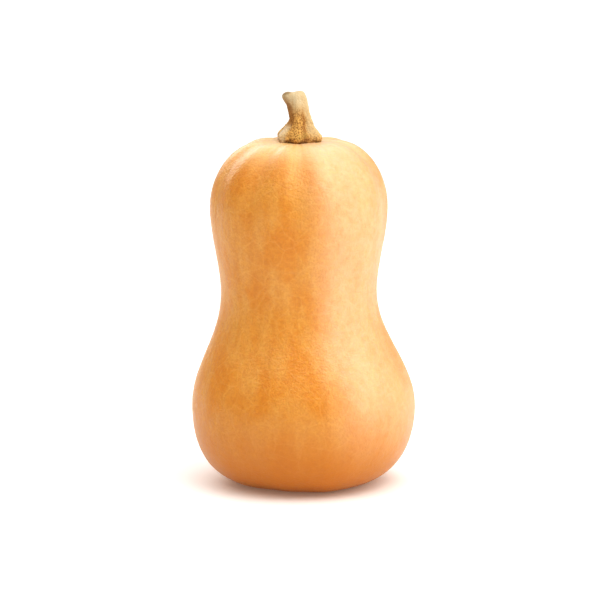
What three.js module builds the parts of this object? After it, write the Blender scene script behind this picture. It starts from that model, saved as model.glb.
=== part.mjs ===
// A butternut squash standing on its blossom end, in millimetres, +Z up, its front towards -Y.
// The origin is on the surface that it stands on, under the middle of the bulb.
// The fruit is one solid: a bulb, a waist, a thick neck and a shallow ribbed crown.
// The dry stem is a second solid. It sits on the flat seat in the middle of the crown.

import * as THREE from 'three';

const degrees = THREE.MathUtils.degToRad;
const smoothstep = THREE.MathUtils.smoothstep;

// Fruit: radius and height of each place where its outline runs straight up.
const BULB = { radius: 63.4, height: 44.5 };
const WAIST = { radius: 43.9, height: 108 };
const NECK = { radius: 50.1, height: 159 };
const CROWN_HEIGHT = 194.8; // at the seat, a little lower than the crown round it
const SEAT_RADIUS = 15; // flat disc under the stem
const FOOT = { inner: 12, outer: 25 }; // flat ring that it stands on
const SCAR_DEPTH = 1.8; // hollow of the blossom scar inside that ring
const LEAN = { reach: -2.6, from: 42, to: 108 }; // the neck stands to the left of the bulb
const SWELL_HEIGHT = 0.5; // four broad swellings keep the skin from being perfectly round

// Fruit: shallow ribs, named by the valleys between them.
const RIBS = 10;
const FIRST_VALLEY = degrees(4); // right of the front
const CROWN_VALLEY_DEPTH = 1.5;
const BODY_VALLEY_DEPTH = 0.4;
const CROWN_RADIUS = 33; // the valleys are at their deepest from here outwards
const FOOT_BLEND = 20; // width of the zone in which the skin's relief grows from the foot
const FRUIT_SIDES = 80;
const OUTLINE_STEPS = 10; // rings in each stretch of the outline

// Stem: heights above the seat.
const STEM_GAP = 0.3; // keeps the two solids apart
const STEM_HEIGHT = 28.2;
const STEM_RADIUS = 5; // between the ridges, half way up
const BASE_RADIUS = 9.2; // between the toes
const RIDGE_HEIGHT = 1.1; // how far a ridge stands out of the shaft
const CUT_RADIUS = 5.5;
const CUT_DISH = 0.5; // hollow of the dry cut end
const LIP = { direction: degrees(-95), reach: 1.7 }; // the cut end swells out to one side
const STEM_SIDES = 60;
const STEM_STEPS = 7; // rings in each stretch of its outline

// The five ridges of the stem. Each ends in a toe: its reach, and the height where it begins to spread.
const RIDGES = [
  { direction: degrees(-62), toe: 13.9, top: 13 },
  { direction: degrees(-3), toe: 13.4, top: 13 },
  { direction: degrees(67), toe: 15, top: 16 },
  { direction: degrees(139), toe: 13.8, top: 14 },
  { direction: degrees(-128), toe: 16.8, top: 13.5 },
];
const RIDGE_WIDTH = degrees(21);

// Direction of a point seen from above: 0 at the front (-Y), positive towards the right (+X).
function directionOf(x, y) {
  return Math.atan2(x, -y);
}

// A lathe turned about +Z. A profile point is (distance from the axis, height).
function turned(profile, sides) {
  return new THREE.LatheGeometry(profile, sides).rotateX(Math.PI / 2);
}

// Moves every vertex of a geometry by a function of its place and normal.
function shapeVertices(geometry, move) {
  const place = geometry.attributes.position;
  const normals = geometry.attributes.normal;
  const point = new THREE.Vector3();
  const normal = new THREE.Vector3();
  for (let i = 0; i < place.count; i += 1) {
    point.fromBufferAttribute(place, i);
    normal.fromBufferAttribute(normals, i);
    move(point, normal);
    place.setXYZ(i, point.x, point.y, point.z);
  }
  geometry.computeVertexNormals();
  return geometry;
}

// Half of the fruit's outline, from the blossom scar under it up to the middle of the crown.
function fruitOutline() {
  const outline = new THREE.Path();
  outline.moveTo(0, SCAR_DEPTH);
  outline.bezierCurveTo(FOOT.inner * 0.5, SCAR_DEPTH, FOOT.inner * 0.7, 0, FOOT.inner, 0);
  outline.lineTo(FOOT.outer, 0);
  outline.bezierCurveTo(52, 0, BULB.radius, 18, BULB.radius, BULB.height);
  outline.bezierCurveTo(BULB.radius, 67, WAIST.radius, 84, WAIST.radius, WAIST.height);
  outline.bezierCurveTo(WAIST.radius, 127, NECK.radius, 141, NECK.radius, NECK.height);
  outline.bezierCurveTo(NECK.radius, 176.5, 36.5, 199, SEAT_RADIUS, CROWN_HEIGHT);
  outline.lineTo(0, CROWN_HEIGHT);
  return outline.getPoints(OUTLINE_STEPS);
}

// Share of the skin's relief near the foot: none on the flat ring, all of it on the bulb.
function offTheFoot(radius) {
  return smoothstep(radius, FOOT.outer, FOOT.outer + FOOT_BLEND);
}

// How deep the valleys between the ribs are: deep round the crown, faint on the body, none on the flats.
function valleyDepth(radius, height) {
  const offTheSeat = smoothstep(radius, SEAT_RADIUS, CROWN_RADIUS);
  const onTheCrown = smoothstep(height, NECK.height - 25, CROWN_HEIGHT - 8) * offTheSeat;
  const onTheBody = height < NECK.height ? offTheFoot(radius) : offTheSeat;
  return CROWN_VALLEY_DEPTH * onTheCrown + BODY_VALLEY_DEPTH * onTheBody;
}

// Height of the skin over its plain turned shape, measured along the normal.
function skinRelief(direction, radius, height) {
  const uneven = 0.09 * Math.sin(2 * direction + 1) + 0.05 * Math.sin(3 * direction);
  const wave = 0.5 + 0.5 * Math.cos(RIBS * (direction - FIRST_VALLEY + uneven * 0.5));
  const valleys = valleyDepth(radius, height) * Math.pow(wave, 1.4);
  const swelling = SWELL_HEIGHT * Math.sin(4 * direction) * offTheFoot(radius);
  return swelling - valleys;
}

function makeFruit() {
  const geometry = turned(fruitOutline(), FRUIT_SIDES);
  shapeVertices(geometry, (point, normal) => {
    const radius = Math.hypot(point.x, point.y);
    const relief = skinRelief(directionOf(point.x, point.y), radius, point.z);
    const lean = LEAN.reach * smoothstep(point.z, LEAN.from, LEAN.to);
    point.addScaledVector(normal, relief);
    point.x += lean;
  });
  return geometry;
}

// Middle line of the stem, from its seat: straight up, then curving over to the left.
const stemLine = new THREE.CatmullRomCurve3([
  new THREE.Vector3(0, 0, 0),
  new THREE.Vector3(0.3, 0.2, 7),
  new THREE.Vector3(0.4, 0.4, 13),
  new THREE.Vector3(-0.3, 0.5, 18),
  new THREE.Vector3(-1.4, 0.7, 22.3),
  new THREE.Vector3(-2.6, 0.9, STEM_HEIGHT - 1),
]);

// Half of the stem's outline before it is bent, without the toes.
function stemOutline() {
  const outline = new THREE.Path();
  outline.moveTo(0, 0);
  outline.lineTo(BASE_RADIUS - 0.8, 0);
  outline.bezierCurveTo(BASE_RADIUS + 0.4, 0, BASE_RADIUS + 0.2, 2.6, 8.6, 4.2);
  outline.bezierCurveTo(7.2, 6.6, STEM_RADIUS, 8.5, STEM_RADIUS, 14);
  outline.bezierCurveTo(STEM_RADIUS, 19, 5.3, 21.5, CUT_RADIUS, STEM_HEIGHT - 3.6);
  outline.bezierCurveTo(CUT_RADIUS, STEM_HEIGHT - 1.4, 4.7, STEM_HEIGHT, 3.2, STEM_HEIGHT);
  outline.bezierCurveTo(2.2, STEM_HEIGHT, 1.4, STEM_HEIGHT - CUT_DISH, 0, STEM_HEIGHT - CUT_DISH);
  return outline.getPoints(STEM_STEPS);
}

// How far the nearest ridge or toe stands out in a direction, at a height on the stem.
function ridgeRelief(direction, height) {
  const underside = 0.55 + 0.45 * smoothstep(height, 0, 2.8);
  const fade = 1 - 0.6 * smoothstep(height, 17, STEM_HEIGHT);
  return RIDGES.reduce((sum, ridge) => {
    const turn = Math.atan2(Math.sin(direction - ridge.direction), Math.cos(direction - ridge.direction));
    const share = Math.exp(-Math.pow(turn / RIDGE_WIDTH, 2));
    const spread = Math.pow(1 - Math.min(height / ridge.top, 1), 1.1);
    const toe = (ridge.toe - BASE_RADIUS) * spread * underside;
    return sum + share * (RIDGE_HEIGHT * fade * (1 - spread) + toe);
  }, 0);
}

// How far the cut end swells out on one side.
function lipRelief(direction, height) {
  const facing = Math.max(0, Math.cos(direction - LIP.direction));
  return LIP.reach * facing * smoothstep(height, STEM_HEIGHT - 6.5, STEM_HEIGHT - 1.5);
}

function makeStem() {
  const geometry = turned(stemOutline(), STEM_SIDES);
  const up = new THREE.Vector3(0, 0, 1);
  const turn = new THREE.Quaternion();
  shapeVertices(geometry, (point) => {
    const radius = Math.hypot(point.x, point.y);
    const height = point.z;
    const onTheWall = smoothstep(radius, 2, 5);
    const direction = directionOf(point.x, point.y);
    const relief = ridgeRelief(direction, height) + lipRelief(direction, height);
    const grown = radius + relief * onTheWall;
    const share = THREE.MathUtils.clamp(height / STEM_HEIGHT, 0, 1);
    const upright = 1 - smoothstep(height, 0, 6);
    const tangent = stemLine.getTangentAt(share).lerp(up, upright).normalize();
    if (radius > 0) point.multiplyScalar(grown / radius);
    point.z = 0;
    point.applyQuaternion(turn.setFromUnitVectors(up, tangent));
    point.add(stemLine.getPointAt(share));
  });
  return geometry;
}

const rind = new THREE.MeshStandardMaterial({ color: 0xe39a48, roughness: 0.45, metalness: 0 });
const cork = new THREE.MeshStandardMaterial({ color: 0xc9a068, roughness: 0.9, metalness: 0 });

const fruit = new THREE.Mesh(makeFruit(), rind);
fruit.name = 'fruit';

const stem = new THREE.Mesh(makeStem(), cork);
stem.name = 'stem';
stem.position.set(LEAN.reach, 0, CROWN_HEIGHT + STEM_GAP);

const squash = new THREE.Group();
squash.add(fruit, stem);

export default squash;
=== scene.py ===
# %% [markdown]
# # A butternut squash
# This lesson dresses a whole butternut squash that stands upright on its blossom end. The CAD model
# gives two pieces in one frame: the fruit and the dry stem. Blender adds what the eye reads up
# close: the satin rind with its mottling, a pale patch on its right that is painted sheen, and the
# dry scar at its foot, and the grainy, corky stem.

# %% Load the frame
import math

import bpy
import numpy as np
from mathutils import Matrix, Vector


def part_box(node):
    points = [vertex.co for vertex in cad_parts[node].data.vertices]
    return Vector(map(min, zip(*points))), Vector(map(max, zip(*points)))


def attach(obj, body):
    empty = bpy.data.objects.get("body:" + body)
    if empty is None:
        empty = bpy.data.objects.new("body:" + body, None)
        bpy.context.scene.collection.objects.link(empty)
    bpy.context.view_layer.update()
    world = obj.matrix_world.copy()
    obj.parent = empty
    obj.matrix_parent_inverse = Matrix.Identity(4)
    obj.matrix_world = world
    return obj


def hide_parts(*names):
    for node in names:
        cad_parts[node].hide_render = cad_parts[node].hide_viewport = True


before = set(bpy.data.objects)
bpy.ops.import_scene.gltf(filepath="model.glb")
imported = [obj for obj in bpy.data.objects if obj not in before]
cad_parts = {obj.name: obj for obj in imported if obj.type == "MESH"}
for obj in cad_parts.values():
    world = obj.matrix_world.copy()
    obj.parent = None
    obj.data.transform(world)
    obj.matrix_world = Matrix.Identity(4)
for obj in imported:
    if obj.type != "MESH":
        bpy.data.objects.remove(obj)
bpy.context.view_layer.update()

# %% Units and colours
MM = 0.001


def linear(hex_code, alpha=1.0):
    """An sRGB colour such as "d9903f", turned to the linear values that shaders take."""
    channels = [int(hex_code[i:i + 2], 16) / 255 for i in (0, 2, 4)]
    curve = [c / 12.92 if c <= 0.04045 else ((c + 0.055) / 1.055) ** 2.4 for c in channels]
    return (*curve, alpha)


def per_metre(size_mm):
    """How often a feature of this size fits in a metre, which is what a texture's Scale means."""
    return 1 / (size_mm * MM)


def smoothstep(value, low, high):
    """0 below low, 1 above high, and an even S between them. It works on whole arrays."""
    share = np.clip((value - low) / (high - low), 0, 1)
    return share * share * (3 - 2 * share)


# The photograph has hard, bright whites and full colours, as a high contrast print has.
bpy.context.scene.view_settings.view_transform = "Standard"
bpy.context.scene.view_settings.look = "High Contrast"
print("mid orange in linear light:", [round(c, 3) for c in linear("d9903f")])

# %% [markdown]
# ## The camera
# The photograph was taken with a long lens from a little above the fruit: the lower edge of the bulb
# is a clear curve, and the top of the crown just shows. A long lens far away keeps the neck and the
# bulb in true proportion. The distance, the tilt and the point looked at are the driving values.

# %% Place the camera
CAMERA_ELEVATION = math.radians(10.5)
CAMERA_DISTANCE = 2.2
CAMERA_LENS = 233.5  # mm, on a sensor 36 mm wide
LOOKED_AT = Vector((-2.05, 0, 104.3)) * MM

camera_data = bpy.data.cameras.new("camera")
camera_data.lens = CAMERA_LENS
camera = bpy.data.objects.new("camera", camera_data)
bpy.context.scene.collection.objects.link(camera)
view_from = Vector((0, -math.cos(CAMERA_ELEVATION), math.sin(CAMERA_ELEVATION)))
camera.location = LOOKED_AT + view_from * CAMERA_DISTANCE
camera.rotation_euler = (math.pi / 2 - CAMERA_ELEVATION, 0, 0)
bpy.context.scene.camera = camera
print("camera at, mm:", [round(c * 1000) for c in camera.location])

# %% [markdown]
# ## Helpers for modelling
# Both pieces are grown the same way, as the vine grows them: a circle is extruded ring by ring along
# the piece, and each new ring is moved, widened and tilted. Most rings take their place and width
# from slices through the CAD node, so nothing there is measured twice. The tube is then wrapped onto
# a smooth copy of that node, which gives it the ribs and the toes, and subdivided for fine relief.


# %% Slices through a CAD node
def slice_node(node, height_mm, thickness_mm=7.0):
    """Centre and mean radius of a CAD node near a height, in metres."""
    points = np.array([v.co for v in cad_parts[node].data.vertices])
    near = points[abs(points[:, 2] - height_mm * MM) < thickness_mm * MM / 2]
    centre = near.mean(axis=0)
    radius = np.hypot(*(near - centre)[:, :2].T).mean()
    return Vector((centre[0], centre[1], height_mm * MM)), radius


for height in (45, 108, 159):
    centre, radius = slice_node("fruit", height)
    print(f"fruit at {height} mm: radius {radius * 1000:.1f} mm, centre x {centre.x * 1000:.1f} mm")


# %% Selecting and applying
def only(obj):
    """Makes obj the one that is selected and active."""
    bpy.ops.object.select_all(action="DESELECT")
    obj.select_set(True)
    bpy.context.view_layer.objects.active = obj


def apply_modifier(obj, kind, **settings):
    """Adds a modifier with its settings and applies it."""
    only(obj)
    modifier = obj.modifiers.new(kind.title(), kind)
    for name, value in settings.items():
        setattr(modifier, name, value)
    bpy.ops.object.modifier_apply(modifier=modifier.name)


def subdivide(obj, levels):
    """Rounds a mesh with an applied Subdivision Surface."""
    apply_modifier(obj, "SUBSURF", levels=levels, render_levels=levels)


# %% Growing a tube ring by ring
def grow_tube(name, sides, rings):
    """A tube from rings of (centre, radius, tilt to the left), with a pole at both ends."""
    bpy.ops.object.select_all(action="DESELECT")
    centre, radius, tilt = rings[0]
    bpy.ops.mesh.primitive_circle_add(
        vertices=sides, radius=radius, fill_type="TRIFAN", location=centre)
    obj = bpy.context.object
    obj.name = name
    bpy.ops.object.transform_apply(location=True, rotation=True, scale=True)
    bpy.ops.object.mode_set(mode="EDIT")
    bpy.ops.mesh.select_all(action="SELECT")
    bpy.ops.mesh.region_to_loop()
    for next_centre, next_radius, next_tilt in rings[1:]:
        bpy.ops.mesh.extrude_edges_move(
            TRANSFORM_OT_translate={"value": next_centre - centre})
        grown = next_radius / radius
        bpy.ops.transform.resize(value=(grown, grown, grown), center_override=next_centre)
        if next_tilt != tilt:
            bpy.ops.transform.rotate(
                value=next_tilt - tilt, orient_axis="Y", center_override=next_centre)
        centre, radius, tilt = next_centre, next_radius, next_tilt
    bpy.ops.mesh.merge(type="CENTER")
    bpy.ops.mesh.select_all(action="SELECT")
    bpy.ops.mesh.normals_make_consistent(inside=False)
    bpy.ops.object.mode_set(mode="OBJECT")
    return obj


# %% A smooth copy of a CAD node to wrap onto
def smooth_copy(node):
    """A merged and subdivided copy of a CAD node. It is removed once a piece is wrapped onto it."""
    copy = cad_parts[node].copy()
    copy.data = copy.data.copy()
    copy.parent = None
    bpy.context.scene.collection.objects.link(copy)
    only(copy)
    bpy.ops.object.mode_set(mode="EDIT")
    bpy.ops.mesh.select_all(action="SELECT")
    bpy.ops.mesh.remove_doubles(threshold=0.001 * MM)
    bpy.ops.mesh.tris_convert_to_quads(
        face_threshold=math.radians(40), shape_threshold=math.radians(60))
    bpy.ops.object.mode_set(mode="OBJECT")
    subdivide(copy, 2)
    return copy


def wrap(obj, node, method, offset_mm=0.0):
    """Moves every vertex of obj onto a smooth copy of a CAD node, or a little outside it."""
    target = smooth_copy(node)
    settings = {"wrap_method": method, "target": target, "offset": offset_mm * MM}
    settings["wrap_mode"] = "ABOVE_SURFACE"
    if method == "PROJECT":
        settings.update(use_negative_direction=True, use_positive_direction=True)
    apply_modifier(obj, "SHRINKWRAP", **settings)
    bpy.data.objects.remove(target)


# %% Reading and marking the vertices of a mesh
def vertex_places(obj):
    """The places of all vertices, as an array with one row each, in metres."""
    places = np.zeros(len(obj.data.vertices) * 3)
    obj.data.vertices.foreach_get("co", places)
    return places.reshape(-1, 3)


def set_places(obj, places):
    """Moves all vertices to new places."""
    obj.data.vertices.foreach_set("co", places.ravel())
    obj.data.update()


def mark_group(obj, name, weights):
    """A vertex group with one weight for each vertex, to say where a modifier acts."""
    group = obj.vertex_groups.new(name=name)
    for index, weight in enumerate(weights):
        group.add([index], float(weight), "REPLACE")


def store(obj, name, kind, field, values):
    """An attribute with one value for each vertex, which a material can read."""
    attribute = obj.data.attributes.new(name, kind, "POINT")
    attribute.data.foreach_set(field, np.ravel(values).astype(np.float32))


# %% Roughening a surface with a texture
def roughen(obj, size_mm, height_mm, group="", stretch=1.0, kind="CLOUDS"):
    """Displaces a mesh by a texture of that size and height. stretch makes it long along Z."""
    texture = bpy.data.textures.new(f"{obj.name} relief {size_mm} mm", kind)
    texture.noise_scale = size_mm * MM
    bpy.ops.object.select_all(action="DESELECT")
    bpy.ops.object.empty_add(scale=(1, 1, 1))
    ruler = bpy.context.object
    ruler.scale = (1, 1, stretch)
    bpy.context.view_layer.update()
    apply_modifier(
        obj, "DISPLACE", texture=texture, texture_coords="OBJECT", texture_coords_object=ruler,
        strength=height_mm * MM, mid_level=0.5, vertex_group=group)
    bpy.data.objects.remove(ruler)
    bpy.data.textures.remove(texture)


# %% [markdown]
# ## The fruit
# A butternut grows from its blossom end: a round bulb with the seeds, a waist, a thick neck of solid
# flesh, and a crown with shallow ribs that run in to the stem. It could be one turned outline, but
# then it would be perfectly round. Here the rings start at the blossom scar and end under the stem,
# close together where the outline turns fast and wide apart on the straight neck.

# %% Grow the fruit
FRUIT_SIDES = 40
# Height and radius of the rings in the blossom hollow, on the flat foot and just outside it.
UNDERSIDE_RINGS = [(1.8, 5), (0.1, 12), (0, 18.5), (0, 25), (1.5, 36), (5, 45)]
BULB_RINGS = [11, 19, 28, 38, 50, 62, 74, 86, 97]  # heights
NECK_RINGS = [108, 120, 133, 146, 158, 168, 177, 184, 189.5, 193]
SEAT_RINGS = [20, 15, 7]  # radii, on the flat disc under the stem
ROUNDING = 0.2  # mm, what the rounding of both meshes takes off the CAD's corners
MIDDLE_HEIGHT = 95  # mm, roughly half way up

fruit_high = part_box("fruit")[1]
neck_centre = slice_node("fruit", 180)[0]
rings = [(Vector((0, 0, height)) * MM, radius * MM, 0) for height, radius in UNDERSIDE_RINGS]
rings += [(*slice_node("fruit", height), 0) for height in BULB_RINGS + NECK_RINGS]
seat_centre = Vector((neck_centre.x, 0, fruit_high.z))
rings += [(seat_centre, radius * MM, 0) for radius in SEAT_RINGS]

rind = grow_tube("rind", FRUIT_SIDES, rings)
for _ in range(2):
    subdivide(rind, 1)
    wrap(rind, "fruit", "NEAREST_SURFACEPOINT", ROUNDING)
subdivide(rind, 1)
print("rind faces:", len(rind.data.polygons))

# %% [markdown]
# ### The uneven skin
# A squash is never quite round. Broad, low swellings come first, then the small dents that make the
# edge of a reflection tremble. Both stay off the flat ring that the squash stands on.

# %% Swellings and dents
SWELLING = {"size_mm": 32, "height_mm": 0.5}
DENTS = {"size_mm": 4, "height_mm": 0.2}
FOOT_BLEND = (0.5, 9)  # mm above the table, from none of the relief to all of it

mark_group(rind, "off the foot", smoothstep(vertex_places(rind)[:, 2] / MM, *FOOT_BLEND))
roughen(rind, group="off the foot", **SWELLING)
roughen(rind, group="off the foot", **DENTS)
print("rind box, mm:", [round(side * 1000, 1) for side in rind.dimensions])

# %% [markdown]
# ### The blossom scar
# Where the flower fell off, a dry, rough button is left in a shallow hollow under the fruit. It is a
# part of the same skin, so the skin is pulled down there and roughened. It stays above the table.

# %% Blossom scar
BUTTON_EDGE = (3.5, 5.1)  # mm from the middle
BUTTON_HEIGHT = 0.9  # mm, how far the dry button hangs down in the hollow
BUTTON_LUMPS = {"size_mm": 1.2, "height_mm": 0.6}

places = vertex_places(rind)
from_middle = np.hypot(places[:, 0], places[:, 1]) / MM
underneath = places[:, 2] < MIDDLE_HEIGHT * MM
button = underneath * (1 - smoothstep(from_middle, *BUTTON_EDGE))
mark_group(rind, "button", button)
places[:, 2] = np.maximum(places[:, 2] - button * BUTTON_HEIGHT * MM, 0)
set_places(rind, places)
roughen(rind, group="button", **BUTTON_LUMPS)
print("vertices in the blossom scar:", int((button > 0.5).sum()))

# %% [markdown]
# ### Where the skin's pattern runs
# The streaks of the skin and the shade painted into its creases follow the ribs: they come out from
# under the stem, run down the neck and the bulb, and meet again at the blossom scar. Plain object
# coordinates would cut straight through the crown. So each vertex is given its place on an unrolled
# skin: the direction it lies in, wound on a cylinder so that there is no seam, and its distance
# along the outline. The vertices also hold how near they are to the stem and the scar, and where a
# painted
# sheen lies: a pale patch to the right of the front, where the sheen of the right lamp falls.

# %% Unroll the skin
UNROLLED_RADIUS = 50
LEAN = {"reach": neck_centre.x / MM, "low": 42, "high": 108}  # the neck stands to one side
OUTLINE_STEPS = 180


def along_the_outline(radius, height):
    """Distance from the bottom pole along the outline, in mm."""
    turn = np.arctan2(height - MIDDLE_HEIGHT, radius)
    order = np.argsort(turn)
    turns = np.linspace(-math.pi / 2, math.pi / 2, OUTLINE_STEPS + 1)
    steps = np.hypot(
        np.diff(np.interp(turns, turn[order], radius[order])),
        np.diff(np.interp(turns, turn[order], height[order])))
    return np.interp(turn, turns, np.concatenate([[0], np.cumsum(steps)]))


places = vertex_places(rind)
height = places[:, 2] / MM
across = places[:, 0] / MM - LEAN["reach"] * smoothstep(height, LEAN["low"], LEAN["high"])
direction = np.arctan2(across, -places[:, 1] / MM)
radius = np.hypot(across, places[:, 1] / MM)
along = along_the_outline(radius, height)
unrolled = np.stack([
    np.sin(direction) * UNROLLED_RADIUS, -np.cos(direction) * UNROLLED_RADIUS, along], axis=1) * MM
store(rind, "unrolled", "FLOAT_VECTOR", "vector", unrolled)
print("outline from scar to stem, mm:", round(along.max(), 1))

# %% Mark the creases, where shade is painted, and the two ends
RIBS = 10
FIRST_VALLEY = math.radians(4)
FAINT = 0.25  # how much of a crease is left low on the body

uneven = 0.045 * np.sin(2 * direction + 1) + 0.025 * np.sin(3 * direction)
valley = 0.5 + 0.5 * np.cos(RIBS * (direction - FIRST_VALLEY + uneven))
on_the_crown = smoothstep(height, 120, 185)
# Painted shade: the skin is darker in the valleys between the ribs, most of all on the crown.
crease_shade = valley ** 6 * (FAINT + (1 - FAINT) * on_the_crown)
store(rind, "crease_shade", "FLOAT", "value", crease_shade)
store(rind, "to_stem", "FLOAT", "value", (along.max() - along) * MM)
store(rind, "to_scar", "FLOAT", "value", along * MM)
print("crease, strongest:", round(float(crease_shade.max()), 2))

# %% Mark the painted sheen on the right flank
SHEEN_START, SHEEN_END = 7, 50  # degrees to the right of the front
SHEEN_EDGE = 27  # degrees over which it grows from the front
SHEEN_FADE = 60  # degrees over which it fades towards the back
SHEEN_FOOT = (10, 62)  # mm above the table, from none of it to all of it
NECK_SPREAD, SHOULDER_SPREAD = 6, 5  # degrees that it reaches further left there
SHOULDER_REACH = 20  # degrees that it reaches further right on the shoulder

on_the_neck = smoothstep(height, 60, 85)
on_the_shoulder = smoothstep(height, 145, 175)
turned = np.degrees(direction)
start = SHEEN_START - NECK_SPREAD * on_the_neck - SHOULDER_SPREAD * on_the_shoulder
end = SHEEN_END + SHOULDER_REACH * on_the_shoulder
painted_sheen = smoothstep(turned, start, start + SHEEN_EDGE)
painted_sheen *= 1 - smoothstep(turned, end, end + SHEEN_FADE)
painted_sheen *= smoothstep(height, *SHEEN_FOOT)
store(rind, "painted_sheen", "FLOAT", "value", painted_sheen)
print("share of the skin that is pale:", round(float(painted_sheen.mean()), 2))

# %% [markdown]
# ## The stem
# The stem is what is left of the vine: five woody ridges that run down from a flat, dry cut and
# spread into toes on the crown. It leans to the left at the top. The same ring by ring tube is bent
# by tilting its upper rings, closed with a dished cut end, and wrapped outwards onto the CAD stem,
# which pulls its lowest rings out into the toes.

# %% Grow the stem
STEM_SIDES = 40
STEM_TILT = math.radians(17)
FOOT_RINGS = [4, 8.5]  # radii
WALL_HEIGHTS = [1.4, 2.8, 4.4, 6.2, 8.2, 10.4, 12.8, 15.2, 17.6, 19.8, 21.8, 23.4]
CUT_RINGS = [(1.5, 5.2), (2.7, 4.4), (3.2, 3.2), (2.9, 1.8)]  # rise above the wall, radius
TOES_HEIGHT = 9  # below this the rings stay over the middle of the foot
BEND = (11, 21)  # heights between which the stem bends over
SLICE_THICKNESS = 3.4  # the CAD's rings are tilted near the top: a thin slice would miss one side

stem_low, stem_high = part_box("stem")
STEM_FOOT = stem_low.z / MM
STEM_HEIGHT = stem_high.z / MM - STEM_FOOT


def stem_tilt(height_mm):
    """How far the stem leans to the left at a height above its foot."""
    return STEM_TILT * float(smoothstep(height_mm, *BEND))


foot_centre = Vector((neck_centre.x, 0, STEM_FOOT * MM))
stem_rings = [(foot_centre, radius * MM, 0) for radius in FOOT_RINGS]
for rise in WALL_HEIGHTS:
    centre, radius = slice_node("stem", STEM_FOOT + rise, SLICE_THICKNESS)
    if rise < TOES_HEIGHT:
        centre.xy = foot_centre.xy
    stem_rings.append((centre, radius, stem_tilt(rise)))
top_centre = stem_rings[-1][0]
top_direction = Vector((-math.sin(STEM_TILT), 0, math.cos(STEM_TILT)))
for rise, radius in CUT_RINGS:
    stem_rings.append((top_centre + top_direction * rise * MM, radius * MM, STEM_TILT))

stem = grow_tube("dry_stem", STEM_SIDES, stem_rings)
subdivide(stem, 1)
wrap(stem, "stem", "PROJECT")
subdivide(stem, 1)
wrap(stem, "stem", "NEAREST_SURFACEPOINT", ROUNDING)
subdivide(stem, 1)
print("stem faces:", len(stem.data.polygons))

# %% [markdown]
# ### The foot and the lip of the stem
# The CAD keeps the stem clear of the fruit. The real one has grown onto it, so its foot is set a
# little into the skin. At the top, the left side of the cut is drawn up to the lip that the knife
# left, which is higher than the solid's.

# %% Set the stem into the crown and pull up the lip of the cut
SUNK = 0.9  # how far the foot is lowered, across the gap that the CAD leaves and into the skin
SUNK_BLEND = (0, 4)  # heights from all of it to none
LIP_PULL = Vector((-0.4, 0, 1.1)) * MM

stem_places = vertex_places(stem)
left_of_axis = (top_centre.x - stem_places[:, 0]) / MM
near_top = smoothstep(stem_places[:, 2], top_centre.z - 3 * MM, top_centre.z + 1 * MM)
lip = smoothstep(left_of_axis, -1, 5) * near_top
stem_places += lip[:, None] * np.array(LIP_PULL)
above_foot = stem_places[:, 2] / MM - STEM_FOOT
stem_places[:, 2] -= SUNK * MM * (1 - smoothstep(above_foot, *SUNK_BLEND))
set_places(stem, stem_places)
print("lip pulled up, mm:", round(lip.max() * LIP_PULL.z / MM, 2))

# %% [markdown]
# ### The bark of the stem
# The drying stem shrinks and cracks. Low lumps come first, then fine upright fibres, grains all over
# the lower bark, and warts where the toes meet the skin.

# %% Lumps, fibres, grains and warts
LUMPS = {"size_mm": 5, "height_mm": 0.5}
FIBRES = {"size_mm": 1.3, "height_mm": 0.35, "stretch": 7}
GRAINS = {"size_mm": 1.3, "height_mm": -0.5, "kind": "VORONOI"}  # the cells stand out as grains
WARTS = {"size_mm": 1.6, "height_mm": 0.7}

up_share = above_foot / STEM_HEIGHT
mark_group(stem, "grainy", 1 - 0.9 * smoothstep(up_share, 0.45, 0.75))
mark_group(stem, "near the foot", 1 - smoothstep(above_foot, 0.5, 5))
roughen(stem, **LUMPS)
roughen(stem, group="grainy", **FIBRES)
roughen(stem, group="grainy", **GRAINS)
roughen(stem, group="near the foot", **WARTS)
print("stem box, mm:", [round(side * 1000, 1) for side in stem.dimensions])

# %% [markdown]
# ### Where the bark changes
# The colour of the stem goes with its sides and heights. A direction is measured round the middle of
# the stem at each height: 0 is the front, 90 the right. The ridge on the right is paler, a dark
# groove runs down beside it as painted shade, the left side is painted brown as shade, and the left
# toe has weathered grey.

# %% Mark the sides and heights of the stem
BANDS = 24  # heights at which the middle of the stem is found
EDGE = 12  # degrees to each side over which one side gives way to the next
PALE_RIDGE = (38, 95)
GREY_SIDE = (-115, -58)
LEFT_SHADE_SIDE = (-105, -38)
GROOVE, GROOVE_WIDTH = 22, 17
CREST, CREST_WIDTH = -54, 7  # the pale crest of the left toe
CUT_EDGE = (1.3, 0.3)  # mm below the highest point of the cut

stem_places = vertex_places(stem)
band = np.clip((up_share * BANDS).astype(int), 0, BANDS - 1)
band_middle = (np.arange(BANDS) + 0.5) / BANDS
lowest, highest = np.full((2, BANDS, 2), [[[math.inf]], [[-math.inf]]])
np.minimum.at(lowest, band, stem_places[:, :2])
np.maximum.at(highest, band, stem_places[:, :2])
middle = (lowest + highest) / 2
middle_x, middle_y = [np.interp(up_share, band_middle, middle[:, axis]) for axis in (0, 1)]
side_on = np.degrees(np.arctan2(stem_places[:, 0] - middle_x, middle_y - stem_places[:, 1]))


def on_side(low, high):
    """1 between two directions in degrees, 0 outside them."""
    return (smoothstep(side_on, low - EDGE, low + EDGE)
            * (1 - smoothstep(side_on, high - EDGE, high + EDGE)))


def along_line(middle, width):
    """1 on a line down the stem in one direction, falling off to both sides."""
    return np.exp(-((side_on - middle) / width) ** 2)


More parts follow.
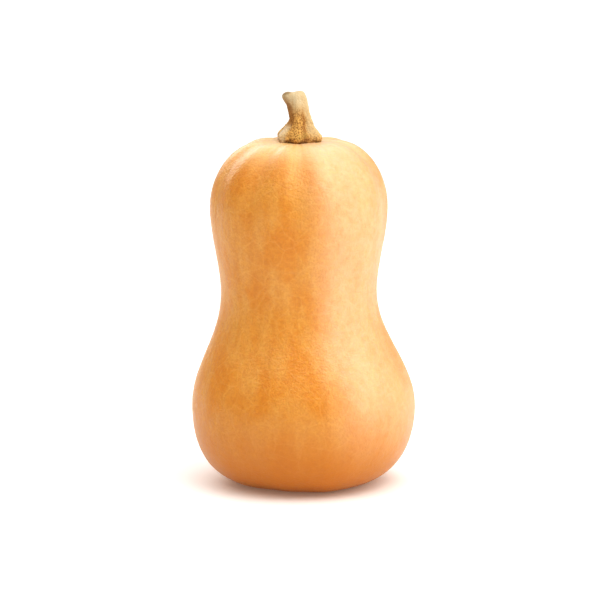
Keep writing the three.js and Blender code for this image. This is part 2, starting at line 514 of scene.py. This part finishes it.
pale = on_side(*PALE_RIDGE) * (0.3 + 0.7 * smoothstep(up_share, 0.03, 0.25))
pale += along_line(CREST, CREST_WIDTH) * (1 - smoothstep(up_share, 0.3, 0.42))
grey = on_side(*GREY_SIDE) * (1 - smoothstep(up_share, 0.28, 0.42))
# Painted shade: the left side, away from the light, is brown.
left_shade = on_side(*LEFT_SHADE_SIDE) * smoothstep(up_share, 0.25, 0.4)
left_shade *= 1 - 0.7 * smoothstep(up_share, 0.7, 0.95)
# Painted shade down the groove beside the pale ridge.
groove_shade = along_line(GROOVE, GROOVE_WIDTH) * (1 - smoothstep(up_share, 0.5, 0.75))
to_cut = (stem_places - np.array(top_centre)) @ np.array(top_direction) / MM
cut = smoothstep(to_cut, to_cut.max() - CUT_EDGE[0], to_cut.max() - CUT_EDGE[1])
marks = {"up": up_share, "pale": pale, "grey": grey, "left_shade": left_shade, "groove_shade": groove_shade, "cut": cut}
for name, values in marks.items():
    store(stem, name, "FLOAT", "value", values)
    print(f"{name}: {values.min():.2f} to {values.max():.2f}")

# %% [markdown]
# ## Materials
# Each material is built from what the real surface is. One function adds a node with its settings
# and links, so that a material reads as a list of layers, from the broad colour to the finest grain.


# %% Adding a node
def add(tree, kind, inputs=None, stops=None, **settings):
    """Adds a shader node. inputs maps a socket to a value or to another node's output."""
    node = tree.nodes.new("ShaderNode" + kind)
    for name, value in settings.items():
        setattr(node, name, value)
    for socket, value in (inputs or {}).items():
        if isinstance(value, bpy.types.NodeSocket):
            tree.links.new(value, node.inputs[socket])
        else:
            node.inputs[socket].default_value = value
    for index, (place, level) in enumerate(stops or []):
        elements = node.color_ramp.elements
        element = elements[index] if index < 2 else elements.new(place)
        element.position = place
        element.color = level if isinstance(level, tuple) else (level, level, level, 1)
    return node


def start_material(name):
    """A new material and its empty node tree."""
    material = bpy.data.materials.new(name)
    material.use_nodes = True
    material.node_tree.nodes.clear()
    return material, material.node_tree


def layer(tree, share, below, above, blend_type="MIX"):
    """One colour laid over another, where share says how much of it shows."""
    mix = add(tree, "Mix", {0: share, 6: below, 7: above}, data_type="RGBA", blend_type=blend_type)
    return mix.outputs[2]


# %% [markdown]
# ### Squash rind
# The rind is a hard, thin plant skin with a natural bloom of wax. It is satin rather than glossy: a
# soft lamp shows as a broad pale sheen with no edge. Light goes a little way into the flesh under
# it, which keeps its shadows warm. It could be one orange with a bump, but the eye reads layers of
# colour first: orange and pinker tan in tall blotches 13 mm across, darker streaks that follow the
# ribs, paler mottling 2.6 mm across, brown specks half that size and a faint net of pale scratches.
# Over that lie the pale crown round the stem, shade painted into the creases, the deeper orange of
# the blossom end, which is riper skin and painted shade near the table, a pale patch on the right
# that is painted sheen, and the dry scar.
# The same dents and specks also make the bump, for the skin and for the thin coat of wax over it.

# %% Squash rind, waxed by nature
CROWN_PALE = (16 * MM, 50 * MM)  # distance from the middle of the crown
RIPE_AND_SHADE_END = (50 * MM, 122 * MM)  # distance from the blossom scar
SCAR_EDGE = (4.5 * MM, 6 * MM)
WARP = 0.006  # how far the net of scratches is pulled out of straight, in metres
BUMP_HEIGHT = 0.4 * MM

skin, tree = start_material("squash rind")
unrolled = add(tree, "Attribute", attribute_name="unrolled").outputs["Vector"]
place = add(tree, "TexCoord").outputs["Object"]

long_ways = add(tree, "Mapping", {"Vector": unrolled, "Scale": (1, 1, 0.12)}).outputs[0]
tall = add(tree, "Mapping", {"Vector": unrolled, "Scale": (1, 1, 0.45)}).outputs[0]
blotches = add(tree, "TexNoise", {"Vector": tall, "Scale": per_metre(13), "Detail": 4}).outputs[0]
streaks = add(tree, "TexNoise", {"Vector": long_ways, "Scale": per_metre(6), "Detail": 3}).outputs[0]
mottle = add(tree, "TexNoise", {"Vector": place, "Scale": per_metre(2.6), "Detail": 4}).outputs[0]
specks = add(tree, "TexNoise", {"Vector": place, "Scale": per_metre(1.2), "Detail": 2}).outputs[0]
dents = add(tree, "TexNoise", {"Vector": place, "Scale": per_metre(4), "Detail": 2}).outputs[0]
warped = layer(tree, WARP, place, add(tree, "TexNoise", {
    "Vector": place, "Scale": per_metre(9), "Detail": 3}).outputs["Color"], "ADD")
net = add(tree, "TexVoronoi", {"Vector": warped, "Scale": per_metre(13)},
          feature="DISTANCE_TO_EDGE").outputs[0]

blotch_share = add(tree, "ValToRGB", {0: blotches}, stops=[(0.4, 0.0), (0.6, 1.0)]).outputs[0]
streak_share = add(tree, "ValToRGB", {0: streaks}, stops=[(0.48, 0.0), (0.7, 0.45)]).outputs[0]
mottle_share = add(tree, "ValToRGB", {0: mottle}, stops=[(0.35, 0.0), (0.7, 0.3)]).outputs[0]
speck_share = add(tree, "ValToRGB", {0: specks}, stops=[(0.4, 0.0), (0.7, 0.35)]).outputs[0]
net_share = add(tree, "MapRange", {0: net, 1: 0.0, 2: 0.045, 3: 0.13, 4: 0.0}).outputs[0]

colour = layer(tree, blotch_share, linear("cc8420"), linear("d09444"))
colour = layer(tree, streak_share, colour, linear("c27a1c"))
colour = layer(tree, mottle_share, colour, linear("e2a844"))
colour = layer(tree, speck_share, colour, linear("b8741c"))
colour = layer(tree, net_share, colour, linear("e6ba6c"))

to_stem = add(tree, "Attribute", attribute_name="to_stem").outputs["Fac"]
crown_share = add(
    tree, "MapRange", {0: to_stem, 1: CROWN_PALE[0], 2: CROWN_PALE[1], 3: 0.8, 4: 0.0},
    interpolation_type="SMOOTHSTEP").outputs[0]
crown_share = add(tree, "Math", {0: crown_share, 1: add(tree, "MapRange", {
    0: streaks, 1: 0.35, 2: 0.65, 3: 0.7, 4: 1.1}).outputs[0]}, operation="MULTIPLY").outputs[0]
colour = layer(tree, crown_share, colour, linear("e4c698"))

# Painted shade in the creases: a little darker in the valleys between the ribs.
crease_shade = add(tree, "Attribute", attribute_name="crease_shade").outputs["Fac"]
crease_shade_share = add(tree, "Math", {0: crease_shade, 1: 0.15}, operation="MULTIPLY").outputs[0]
colour = layer(tree, crease_shade_share, colour, linear("b88440"))

# Deeper orange towards the blossom end: riper skin and painted shade near the table.
to_scar = add(tree, "Attribute", attribute_name="to_scar").outputs["Fac"]
ripe_and_shade_share = add(
    tree, "MapRange", {0: to_scar, 1: RIPE_AND_SHADE_END[0], 2: RIPE_AND_SHADE_END[1], 3: 0.85, 4: 0.0},
    interpolation_type="SMOOTHSTEP").outputs[0]
colour = layer(tree, ripe_and_shade_share, colour, linear("bc7208"))

# Painted sheen: the pale patch right of the front stands in for the right lamp's sheen.
painted_sheen = add(tree, "Attribute", attribute_name="painted_sheen").outputs["Fac"]
painted_sheen_share = add(tree, "Math", {0: painted_sheen, 1: add(tree, "MapRange", {
    0: dents, 1: 0.35, 2: 0.65, 3: 0.36, 4: 0.48}).outputs[0]}, operation="MULTIPLY").outputs[0]
colour = layer(tree, painted_sheen_share, colour, linear("e4c0a0"))

scar_edge = add(tree, "Math", {0: to_scar, 1: add(tree, "MapRange", {
    0: mottle, 1: 0.3, 2: 0.7, 3: -1 * MM, 4: 1 * MM}).outputs[0]}).outputs[0]
scar_share = add(tree, "MapRange", {
    0: scar_edge, 1: SCAR_EDGE[0], 2: SCAR_EDGE[1], 3: 0.9, 4: 0.0}).outputs[0]
colour = layer(tree, scar_share, colour, linear("7a5a3a"))

roughness = add(tree, "MapRange", {0: mottle, 1: 0.3, 2: 0.7, 3: 0.46, 4: 0.54}).outputs[0]
relief = add(tree, "Math", {0: dents, 1: specks}, operation="ADD").outputs[0]
bump = add(tree, "Bump", {"Height": relief, "Distance": BUMP_HEIGHT, "Strength": 0.8}).outputs[0]
surface = add(tree, "BsdfPrincipled", {
    "Base Color": colour, "Roughness": roughness, "Normal": bump, "IOR": 1.5,
    "Subsurface Weight": 0.12, "Subsurface Radius": (1.0, 0.35, 0.1), "Subsurface Scale": 3 * MM,
    "Coat Normal": bump, "Coat Weight": 0.4, "Coat Roughness": 0.15})
add(tree, "OutputMaterial", {"Surface": surface.outputs[0]})
rind.data.materials.append(skin)
print("rind material nodes:", len(tree.nodes))

# %% [markdown]
# ### Dry stem
# The stem has dried to cork and wood. Its upper third is smooth and cream coloured. Below, the tan
# bark is dotted with dark brown grains 1 mm apart. The ridge on the right and the crest of the left
# toe are paler and the left toe is grey. Shade is painted on too: a dark groove beside the pale
# ridge, a brown left side, and a dark brown edge where the stem meets the skin. A little green is
# left low down. The cut end has dried to a dull brown. Nothing on it shines, so it has no coat.

# %% Dry stem, cork and wood
cork, tree = start_material("dry corky stem")
place = add(tree, "TexCoord").outputs["Object"]
up, pale, grey, left_shade, groove_shade, cut = [
    add(tree, "Attribute", attribute_name=name).outputs["Fac"] for name in marks]
upright = add(tree, "Mapping", {"Vector": place, "Scale": (1, 1, 0.2)}).outputs[0]
grains = add(tree, "TexVoronoi", {"Vector": place, "Scale": per_metre(1.0)}).outputs[0]
fibre = add(tree, "TexNoise", {"Vector": upright, "Scale": per_metre(1.4), "Detail": 3}).outputs[0]
patches = add(tree, "TexNoise", {"Vector": place, "Scale": per_metre(6), "Detail": 3}).outputs[0]
specks = add(tree, "TexNoise", {"Vector": place, "Scale": per_metre(0.8), "Detail": 2}).outputs[0]

barky = add(tree, "MapRange", {0: up, 1: 0.4, 2: 0.85, 3: 1.0, 4: 0.0},
            interpolation_type="SMOOTHSTEP").outputs[0]
fibre_share = add(tree, "ValToRGB", {0: fibre}, stops=[(0.4, 0.0), (0.7, 0.35)]).outputs[0]
grain_share = add(tree, "ValToRGB", {0: grains}, stops=[(0.15, 0.95), (0.48, 0.0)]).outputs[0]
grain_share = add(tree, "Math", {0: grain_share, 1: barky}, operation="MULTIPLY").outputs[0]
speck_share = add(tree, "ValToRGB", {0: specks}, stops=[(0.5, 0.0), (0.62, 0.6)]).outputs[0]
speck_share = add(tree, "Math", {0: speck_share, 1: barky}, operation="MULTIPLY").outputs[0]
groove_shade_share = add(tree, "Math", {0: groove_shade, 1: 0.65}, operation="MULTIPLY").outputs[0]
pale_share = add(tree, "Math", {0: pale, 1: 0.75}, operation="MULTIPLY").outputs[0]
grey_share = add(tree, "Math", {0: grey, 1: 0.7}, operation="MULTIPLY").outputs[0]
left_shade_share = add(tree, "Math", {0: left_shade, 1: 0.75}, operation="MULTIPLY").outputs[0]

colour = layer(tree, barky, linear("c6b492"), linear("dcae64"))
colour = layer(tree, fibre_share, colour, linear("b48c58"))
colour = layer(tree, speck_share, colour, linear("98683a"))
colour = layer(tree, grain_share, colour, linear("744a20"))
# Painted shade in the groove.
colour = layer(tree, groove_shade_share, colour, linear("7c5024"))
colour = layer(tree, pale_share, colour, linear("c6ae86"))
colour = layer(tree, grey_share, colour, linear("dccdb4"))
# Painted shade on the left side of the stem.
colour = layer(tree, left_shade_share, colour, linear("8a5e30"))
low_down = add(tree, "MapRange", {0: up, 1: 0.05, 2: 0.3, 3: 0.8, 4: 0.0}).outputs[0]
green_share = add(tree, "ValToRGB", {0: patches}, stops=[(0.5, 0.0), (0.62, 0.5)]).outputs[0]
green_share = add(tree, "Math", {0: green_share, 1: low_down}, operation="MULTIPLY").outputs[0]
colour = layer(tree, green_share, colour, linear("b4a25a"))
# Painted shade: dark brown where the stem's foot meets the skin.
foot_shade_edge = add(tree, "Math", {0: up, 1: add(tree, "MapRange", {
    0: patches, 1: 0.35, 2: 0.65, 3: 0.04, 4: -0.08}).outputs[0]}).outputs[0]
foot_shade_share = add(tree, "MapRange", {0: foot_shade_edge, 1: 0.0, 2: 0.08, 3: 0.9, 4: 0.0}).outputs[0]
colour = layer(tree, foot_shade_share, colour, linear("5a3a20"))
cut_share = add(tree, "Math", {0: cut, 1: 0.85}, operation="MULTIPLY").outputs[0]
colour = layer(tree, cut_share, colour, linear("8c7450"))

relief = add(tree, "Math", {0: specks, 1: grains}, operation="SUBTRACT").outputs[0]
bump = add(tree, "Bump", {"Height": relief, "Distance": 0.25 * MM, "Strength": 1.0}).outputs[0]
surface = add(tree, "BsdfPrincipled", {
    "Base Color": colour, "Roughness": 0.85, "Normal": bump, "IOR": 1.45})
add(tree, "OutputMaterial", {"Surface": surface.outputs[0]})
stem.data.materials.append(cork)
print("stem material nodes:", len(tree.nodes))

# %% [markdown]
# ## The pieces and the frame
# Each piece rides on the one body of the frame and takes the place of its CAD node.

# %% Join the pieces to the frame
for piece, node, slot in ((rind, "fruit", "rind"), (stem, "stem", "cork")):
    only(piece)
    bpy.ops.object.shade_smooth()
    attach(piece, "root")
    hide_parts(node)
    print(piece.name, "replaces", node)

# %% [markdown]
# ## The floor and the light
# The photograph has a white surface that runs on into a white background, and soft light from all
# round, most of it from the right. The floor is a wide white sheet. It is given a painted glow, a
# little light of its own in a warm white that stands in for light bounced off the orange skin: that
# keeps the shadow under the fruit light and brownish. The sky is brighter overhead than at its edge,
# so the floor turns white while the sides of the fruit keep their colour. There are four soft lamps:
# a wide one on the right, a weak one in front, one behind on the left for the far edge, and one
# above.

# %% White floor
FLOOR_SIZE = 14
bpy.ops.object.select_all(action="DESELECT")
bpy.ops.mesh.primitive_plane_add(size=FLOOR_SIZE)
floor = bpy.context.object
floor.name = "floor"
paper, tree = start_material("white paper")
# The warm emission is a painted glow that stands in for light bounced off the orange skin.
surface = add(tree, "BsdfPrincipled", {
    "Base Color": (0.8, 0.8, 0.8, 1), "Roughness": 0.9, "Specular IOR Level": 0.2,
    "Emission Color": (1, 0.76, 0.6, 1), "Emission Strength": 0.12})
add(tree, "OutputMaterial", {"Surface": surface.outputs[0]})
floor.data.materials.append(paper)
print("floor, m:", FLOOR_SIZE)

# %% Sky light
SKY_EDGE, SKY_TOP = 0.34, 1.25
sky = bpy.data.worlds.new("sky light")
bpy.context.scene.world = sky
sky.use_nodes = True
tree = sky.node_tree
tree.nodes.clear()
upward = add(tree, "SeparateXYZ", {0: add(tree, "TexCoord").outputs["Generated"]}).outputs["Z"]
strength = add(
    tree, "MapRange", {0: upward, 1: 0.3, 2: 0.9, 3: SKY_EDGE, 4: SKY_TOP},
    interpolation_type="SMOOTHSTEP").outputs[0]
background = add(tree, "Background", {"Color": (1, 1, 1, 1), "Strength": strength}).outputs[0]
add(tree, "OutputWorld", {"Surface": background})
print("sky from", SKY_EDGE, "at its edge to", SKY_TOP, "overhead")


# %% Soft lamps
def add_lamp(name, azimuth, elevation, distance, width, height, radiance):
    """A soft lamp that faces the fruit. Azimuth 0 is the camera's side, 90 the right."""
    turn, rise = math.radians(azimuth), math.radians(elevation)
    away = Vector((
        math.sin(turn) * math.cos(rise), -math.cos(turn) * math.cos(rise), math.sin(rise)))
    bpy.ops.object.light_add(type="AREA", location=LOOKED_AT + away * distance)
    lamp = bpy.context.object
    lamp.name = name
    lamp.data.shape = "RECTANGLE"
    lamp.data.size = width
    lamp.data.size_y = height
    lamp.data.energy = radiance * math.pi * width * height
    lamp.rotation_euler = away.to_track_quat("Z", "Y").to_euler()


# Name, azimuth and elevation in degrees, distance, width and height in metres, and radiance.
LAMPS = [
    ("right softbox", 80, 24, 0.85, 0.8, 1.4, 1.1),
    ("front softbox", 34, 24, 1.0, 0.5, 1.3, 0.65),
    ("back softbox", -152, 28, 1.0, 0.6, 0.6, 1.5),
    ("top softbox", 25, 62, 1.0, 0.5, 0.5, 1.4),
]
for lamp in LAMPS:
    add_lamp(*lamp)
print("soft lamps:", len(LAMPS))
